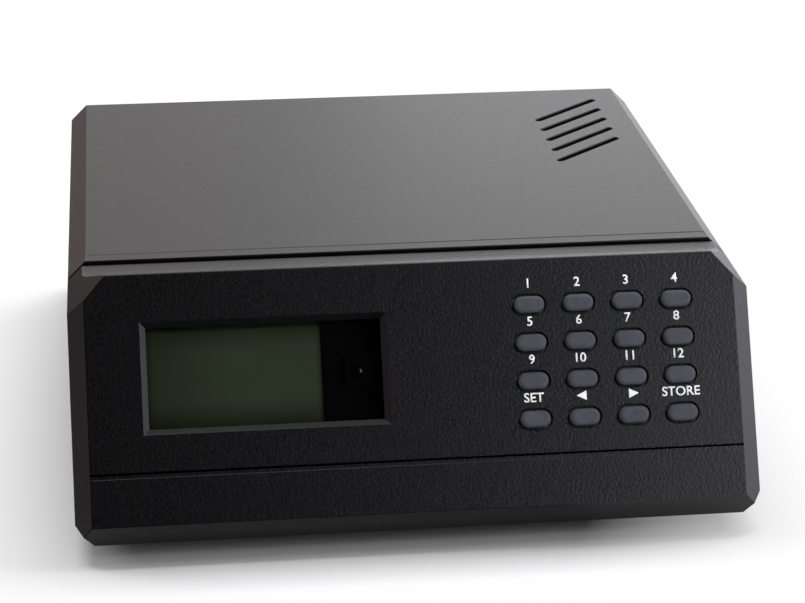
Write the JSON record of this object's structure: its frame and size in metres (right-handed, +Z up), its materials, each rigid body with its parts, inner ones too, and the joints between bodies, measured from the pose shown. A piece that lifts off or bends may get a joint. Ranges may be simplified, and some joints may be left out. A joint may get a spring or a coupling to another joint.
{
  "type": "antenna rotator controller",
  "caption": "Desktop antenna rotator controller: black plastic case, sloped front with display window and keypad, rear wire terminals.",
  "frame": {"origin": "centre of the footprint's bounding box, on the surface that the feet stand on", "axes": "+X to the right seen from the front, +Y to the rear, along the longest side, +Z up"},
  "size_m": [0.2, 0.2216, 0.0737],
  "materials": {
    "case_plastic": "satin, finely textured",
    "window_plastic": "polished dark tint",
    "frame_metal": "blackened steel sheet",
    "display_glass": "dark olive liquid crystal",
    "light_guide": "milky",
    "circuit_board": "solder mask",
    "chip_plastic": "moulded epoxy",
    "key_rubber": "matt silicone",
    "terminal_plastic": "phenolic",
    "plated_metal": "nickel plate",
    "screw_steel": "zinc plate",
    "gland_plastic": "nylon",
    "foot_rubber": "matt",
    "core_iron": "varnished laminations",
    "coil_tape": "polyester tape",
    "can_aluminium": "drawn can",
    "capacitor_sleeve": "shrunk sleeve",
    "sink_aluminium": "black anodised",
    "fuse_glass": "clear tube with plated ends",
    "plug_plastic": "white nylon"
  },
  "bodies": {
    "case": {"top_cover": "case_plastic", "bottom_case": "case_plastic", "front_bezel": "case_plastic", "rear_panel": "case_plastic", "display_window": "window_plastic", "lcd_frame": "frame_metal", "lcd_glass": "display_glass", "lcd_backlight": "light_guide", "display_board": "circuit_board", "ir_receiver": "chip_plastic", "keypad_mat": "key_rubber", "key_board": "circuit_board", "terminal_block": "terminal_plastic", "terminal_plates": "plated_metal", "terminal_screws": "plated_metal", "terminal_mount_screws": "screw_steel", "cord_gland": "gland_plastic", "rubber_feet": "foot_rubber", "case_screws": "screw_steel", "board_screws": "screw_steel", "strap_screws": "screw_steel", "display_screws": "screw_steel", "key_board_screws": "screw_steel", "transformer_core": "core_iron", "transformer_winding": "coil_tape", "transformer_strap": "frame_metal", "motor_capacitor": "can_aluminium", "capacitor_strap": "frame_metal", "main_board": "circuit_board", "relays": "chip_plastic", "filter_capacitors": "capacitor_sleeve", "chip_socket": "chip_plastic", "control_chip": "chip_plastic", "crystal": "plated_metal", "bridge_rectifier": "chip_plastic", "heat_sink": "sink_aluminium", "voltage_regulator": "chip_plastic", "fuse_clips": "plated_metal", "fuse": "fuse_glass", "board_plugs": "plug_plastic"},
    "key_1": {"key_1": "key_rubber"},
    "key_2": {"key_2": "key_rubber"},
    "key_3": {"key_3": "key_rubber"},
    "key_4": {"key_4": "key_rubber"},
    "key_5": {"key_5": "key_rubber"},
    "key_6": {"key_6": "key_rubber"},
    "key_7": {"key_7": "key_rubber"},
    "key_8": {"key_8": "key_rubber"},
    "key_9": {"key_9": "key_rubber"},
    "key_10": {"key_10": "key_rubber"},
    "key_11": {"key_11": "key_rubber"},
    "key_12": {"key_12": "key_rubber"},
    "key_set": {"key_set": "key_rubber"},
    "key_left": {"key_left": "key_rubber"},
    "key_right": {"key_right": "key_rubber"},
    "key_store": {"key_store": "key_rubber"}
  },
  "joints": [
    {"name": "key_1_press", "type": "slide", "parent": "case", "child": "key_1", "axis": [0, 0.8796, -0.4756], "range_m": [0, 0.0008], "stiffness_N_per_m": 900},
    {"name": "key_2_press", "type": "slide", "parent": "case", "child": "key_2", "axis": [0, 0.8796, -0.4756], "range_m": [0, 0.0008], "stiffness_N_per_m": 900},
    {"name": "key_3_press", "type": "slide", "parent": "case", "child": "key_3", "axis": [0, 0.8796, -0.4756], "range_m": [0, 0.0008], "stiffness_N_per_m": 900},
    {"name": "key_4_press", "type": "slide", "parent": "case", "child": "key_4", "axis": [0, 0.8796, -0.4756], "range_m": [0, 0.0008], "stiffness_N_per_m": 900},
    {"name": "key_5_press", "type": "slide", "parent": "case", "child": "key_5", "axis": [0, 0.8796, -0.4756], "range_m": [0, 0.0008], "stiffness_N_per_m": 900},
    {"name": "key_6_press", "type": "slide", "parent": "case", "child": "key_6", "axis": [0, 0.8796, -0.4756], "range_m": [0, 0.0008], "stiffness_N_per_m": 900},
    {"name": "key_7_press", "type": "slide", "parent": "case", "child": "key_7", "axis": [0, 0.8796, -0.4756], "range_m": [0, 0.0008], "stiffness_N_per_m": 900},
    {"name": "key_8_press", "type": "slide", "parent": "case", "child": "key_8", "axis": [0, 0.8796, -0.4756], "range_m": [0, 0.0008], "stiffness_N_per_m": 900},
    {"name": "key_9_press", "type": "slide", "parent": "case", "child": "key_9", "axis": [0, 0.8796, -0.4756], "range_m": [0, 0.0008], "stiffness_N_per_m": 900},
    {"name": "key_10_press", "type": "slide", "parent": "case", "child": "key_10", "axis": [0, 0.8796, -0.4756], "range_m": [0, 0.0008], "stiffness_N_per_m": 900},
    {"name": "key_11_press", "type": "slide", "parent": "case", "child": "key_11", "axis": [0, 0.8796, -0.4756], "range_m": [0, 0.0008], "stiffness_N_per_m": 900},
    {"name": "key_12_press", "type": "slide", "parent": "case", "child": "key_12", "axis": [0, 0.8796, -0.4756], "range_m": [0, 0.0008], "stiffness_N_per_m": 900},
    {"name": "key_set_press", "type": "slide", "parent": "case", "child": "key_set", "axis": [0, 0.8796, -0.4756], "range_m": [0, 0.0008], "stiffness_N_per_m": 900},
    {"name": "key_left_press", "type": "slide", "parent": "case", "child": "key_left", "axis": [0, 0.8796, -0.4756], "range_m": [0, 0.0008], "stiffness_N_per_m": 900},
    {"name": "key_right_press", "type": "slide", "parent": "case", "child": "key_right", "axis": [0, 0.8796, -0.4756], "range_m": [0, 0.0008], "stiffness_N_per_m": 900},
    {"name": "key_store_press", "type": "slide", "parent": "case", "child": "key_store", "axis": [0, 0.8796, -0.4756], "range_m": [0, 0.0008], "stiffness_N_per_m": 900}
  ]
}
